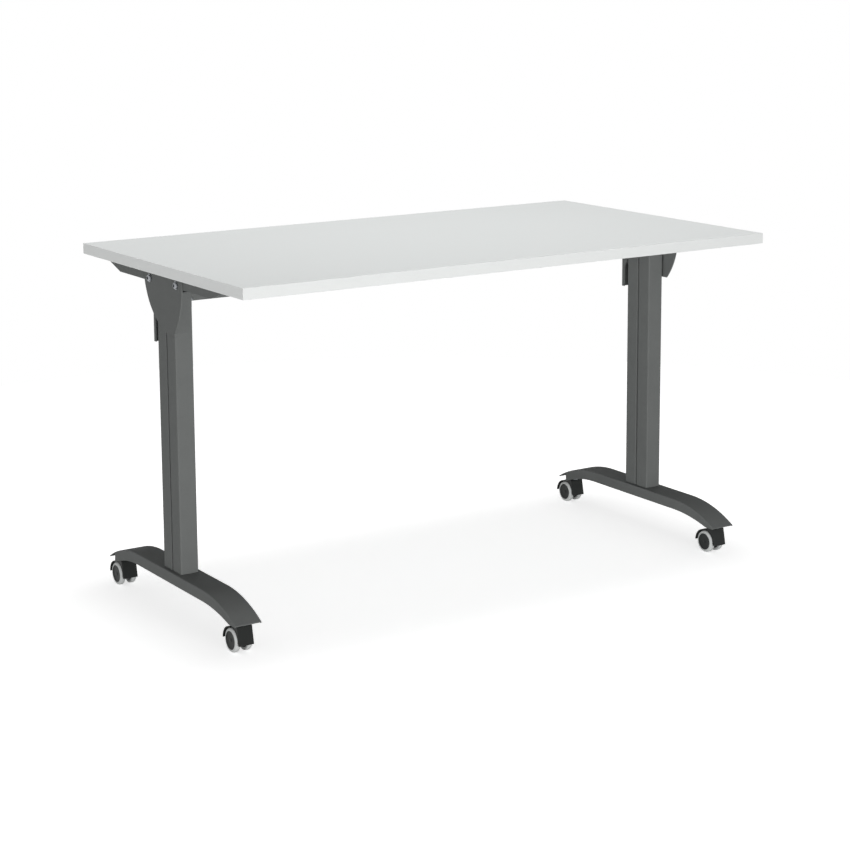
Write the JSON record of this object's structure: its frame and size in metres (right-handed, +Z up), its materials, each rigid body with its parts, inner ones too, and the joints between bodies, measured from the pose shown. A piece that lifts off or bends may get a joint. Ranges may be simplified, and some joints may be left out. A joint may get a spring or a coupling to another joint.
{
  "type": "flip top training table",
  "caption": "Rectangular laminate table top that flips upright on two T legs with arched feet, latch levers and swivel twin-wheel casters.",
  "frame": {"origin": "on the floor below the middle of the table top", "axes": "+X along the length of the top, -Y towards the front edge, +Z up"},
  "size_m": [1.3, 0.73, 0.75],
  "materials": {
    "laminate": "matt light grey melamine laminate",
    "edge_band": "smooth plastic edge band",
    "steel_paint": "fine textured dark grey powder coat",
    "bright_steel": "bright zinc plated",
    "spring_steel": "drawn spring wire",
    "black_plastic": "moulded black nylon",
    "bush_plastic": "smooth black plastic",
    "tyre_rubber": "grey non-marking tread",
    "buffer_rubber": "black rubber"
  },
  "bodies": {
    "frame": {"cross_beam": "steel_paint", "foot_left": "steel_paint", "column_left": "steel_paint", "column_cap_left": "bush_plastic", "pivot_bush_left": "bush_plastic", "lever_bracket_left": "steel_paint", "lever_pin_left": "bright_steel", "lever_spring_left": "spring_steel", "foot_right": "steel_paint", "column_right": "steel_paint", "column_cap_right": "bush_plastic", "pivot_bush_right": "bush_plastic", "lever_bracket_right": "steel_paint", "lever_pin_right": "bright_steel", "lever_spring_right": "spring_steel", "caster_stem_front_left": "bright_steel", "caster_stem_rear_left": "bright_steel", "caster_stem_front_right": "bright_steel", "caster_stem_rear_right": "bright_steel"},
    "top": {"table_top": "laminate", "edge_band_front": "edge_band", "edge_band_right": "edge_band", "edge_band_rear": "edge_band", "edge_band_left": "edge_band", "rail_left": "steel_paint", "pivot_plate_left": "steel_paint", "stop_buffer_left": "buffer_rubber", "plate_bolt_left_front": "bright_steel", "plate_bolt_left_rear": "bright_steel", "rail_right": "steel_paint", "pivot_plate_right": "steel_paint", "stop_buffer_right": "buffer_rubber", "plate_bolt_right_front": "bright_steel", "plate_bolt_right_rear": "bright_steel"},
    "lever_left": {"release_lever_left": "steel_paint"},
    "lever_right": {"release_lever_right": "steel_paint"},
    "caster_front_left": {"caster_hood_front_left": "black_plastic", "caster_axle_front_left": "bright_steel"},
    "wheel_front_left_outer": {"wheel_hub_front_left_outer": "black_plastic", "wheel_tyre_front_left_outer": "tyre_rubber"},
    "wheel_front_left_inner": {"wheel_hub_front_left_inner": "black_plastic", "wheel_tyre_front_left_inner": "tyre_rubber"},
    "caster_rear_left": {"caster_hood_rear_left": "black_plastic", "caster_axle_rear_left": "bright_steel"},
    "wheel_rear_left_outer": {"wheel_hub_rear_left_outer": "black_plastic", "wheel_tyre_rear_left_outer": "tyre_rubber"},
    "wheel_rear_left_inner": {"wheel_hub_rear_left_inner": "black_plastic", "wheel_tyre_rear_left_inner": "tyre_rubber"},
    "caster_front_right": {"caster_hood_front_right": "black_plastic", "caster_axle_front_right": "bright_steel"},
    "wheel_front_right_outer": {"wheel_hub_front_right_outer": "black_plastic", "wheel_tyre_front_right_outer": "tyre_rubber"},
    "wheel_front_right_inner": {"wheel_hub_front_right_inner": "black_plastic", "wheel_tyre_front_right_inner": "tyre_rubber"},
    "caster_rear_right": {"caster_hood_rear_right": "black_plastic", "caster_axle_rear_right": "bright_steel"},
    "wheel_rear_right_outer": {"wheel_hub_rear_right_outer": "black_plastic", "wheel_tyre_rear_right_outer": "tyre_rubber"},
    "wheel_rear_right_inner": {"wheel_hub_rear_right_inner": "black_plastic", "wheel_tyre_rear_right_inner": "tyre_rubber"}
  },
  "joints": [
    {"name": "top_flip", "type": "hinge", "parent": "frame", "child": "top", "pos_m": [0, -0.015, 0.682], "axis": [1, 0, 0], "range_deg": [0, 90]},
    {"name": "lever_left_squeeze", "type": "hinge", "parent": "frame", "child": "lever_left", "pos_m": [-0.614, 0.054, 0.66], "axis": [-1, 0, 0], "range_deg": [0, 10], "stiffness_Nm_per_rad": 1.2, "springref_deg": -5.73, "deforming": ["lever_spring_left"]},
    {"name": "lever_right_squeeze", "type": "hinge", "parent": "frame", "child": "lever_right", "pos_m": [0.614, 0.054, 0.66], "axis": [-1, 0, 0], "range_deg": [0, 10], "stiffness_Nm_per_rad": 1.2, "springref_deg": -5.73, "deforming": ["lever_spring_right"]},
    {"name": "caster_front_left_swivel", "type": "hinge", "parent": "frame", "child": "caster_front_left", "pos_m": [-0.614, -0.267, 0.0455], "axis": [0, 0, 1], "continuous": true},
    {"name": "wheel_front_left_outer_roll", "type": "hinge", "parent": "caster_front_left", "child": "wheel_front_left_outer", "pos_m": [-0.62935, -0.25, 0.025], "axis": [1, 0, 0], "continuous": true},
    {"name": "wheel_front_left_inner_roll", "type": "hinge", "parent": "caster_front_left", "child": "wheel_front_left_inner", "pos_m": [-0.59865, -0.25, 0.025], "axis": [1, 0, 0], "continuous": true},
    {"name": "caster_rear_left_swivel", "type": "hinge", "parent": "frame", "child": "caster_rear_left", "pos_m": [-0.614, 0.267, 0.0455], "axis": [0, 0, 1], "continuous": true},
    {"name": "wheel_rear_left_outer_roll", "type": "hinge", "parent": "caster_rear_left", "child": "wheel_rear_left_outer", "pos_m": [-0.62935, 0.284, 0.025], "axis": [1, 0, 0], "continuous": true},
    {"name": "wheel_rear_left_inner_roll", "type": "hinge", "parent": "caster_rear_left", "child": "wheel_rear_left_inner", "pos_m": [-0.59865, 0.284, 0.025], "axis": [1, 0, 0], "continuous": true},
    {"name": "caster_front_right_swivel", "type": "hinge", "parent": "frame", "child": "caster_front_right", "pos_m": [0.614, -0.267, 0.0455], "axis": [0, 0, 1], "continuous": true},
    {"name": "wheel_front_right_outer_roll", "type": "hinge", "parent": "caster_front_right", "child": "wheel_front_right_outer", "pos_m": [0.62935, -0.25, 0.025], "axis": [1, 0, 0], "continuous": true},
    {"name": "wheel_front_right_inner_roll", "type": "hinge", "parent": "caster_front_right", "child": "wheel_front_right_inner", "pos_m": [0.59865, -0.25, 0.025], "axis": [1, 0, 0], "continuous": true},
    {"name": "caster_rear_right_swivel", "type": "hinge", "parent": "frame", "child": "caster_rear_right", "pos_m": [0.614, 0.267, 0.0455], "axis": [0, 0, 1], "continuous": true},
    {"name": "wheel_rear_right_outer_roll", "type": "hinge", "parent": "caster_rear_right", "child": "wheel_rear_right_outer", "pos_m": [0.62935, 0.284, 0.025], "axis": [1, 0, 0], "continuous": true},
    {"name": "wheel_rear_right_inner_roll", "type": "hinge", "parent": "caster_rear_right", "child": "wheel_rear_right_inner", "pos_m": [0.59865, 0.284, 0.025], "axis": [1, 0, 0], "continuous": true}
  ]
}
